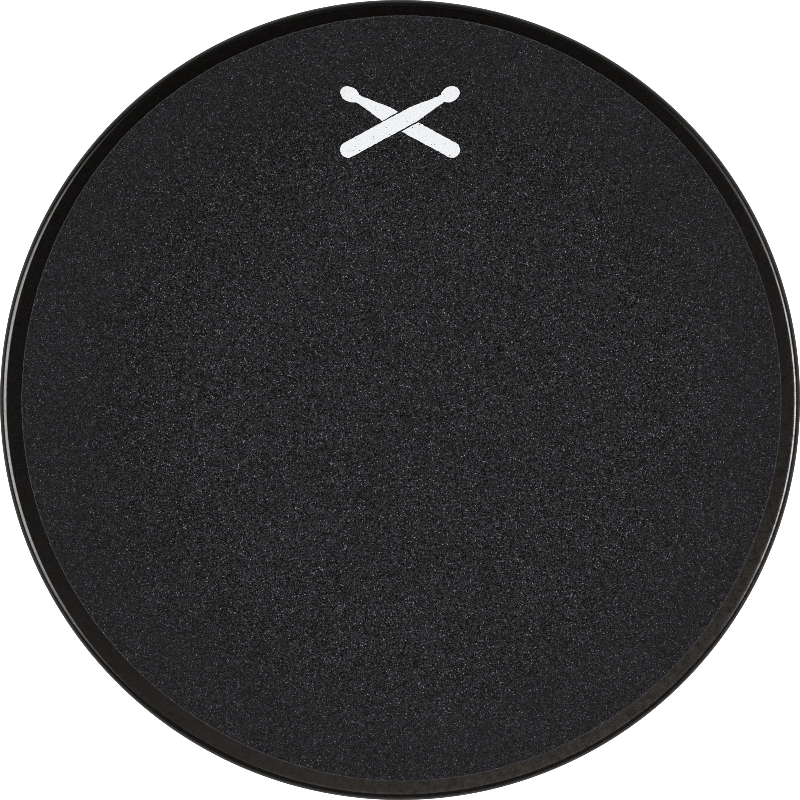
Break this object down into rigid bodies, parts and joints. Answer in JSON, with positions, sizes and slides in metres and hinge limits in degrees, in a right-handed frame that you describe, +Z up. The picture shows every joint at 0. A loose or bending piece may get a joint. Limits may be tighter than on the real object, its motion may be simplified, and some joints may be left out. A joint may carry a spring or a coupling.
{
  "type": "practice pad",
  "caption": "Round single-sided drum practice pad: granular rubber playing sheet on soft foam, glued to a rounded fibreboard disc with a non-slip mat underneath.",
  "frame": {"origin": "centre of the non-slip mat's underside, the face the pad stands on", "axes": "+Z up out of the playing surface; +Y from the centre towards the printed mark, so the player sits on the -Y side; +X to the player's right"},
  "size_m": [0.3048, 0.3048, 0.0319],
  "materials": {
    "granular_rubber": "matte, fine bright granules",
    "white_ink": "screen-printed white ink, matte",
    "adhesive_film": "pale translucent acrylic film",
    "soft_foam": "closed-cell foam, matte cut edge",
    "painted_board": "satin brown-black paint over fibreboard",
    "mat_rubber": "matte pebbled non-slip rubber"
  },
  "bodies": {
    "root": {"playing_sheet": "granular_rubber", "printed_mark": "white_ink", "sheet_adhesive": "adhesive_film", "foam_cushion": "soft_foam", "foam_adhesive": "adhesive_film", "base_board": "painted_board", "mat_adhesive": "adhesive_film", "non_slip_mat": "mat_rubber"}
  },
  "joints": []
}
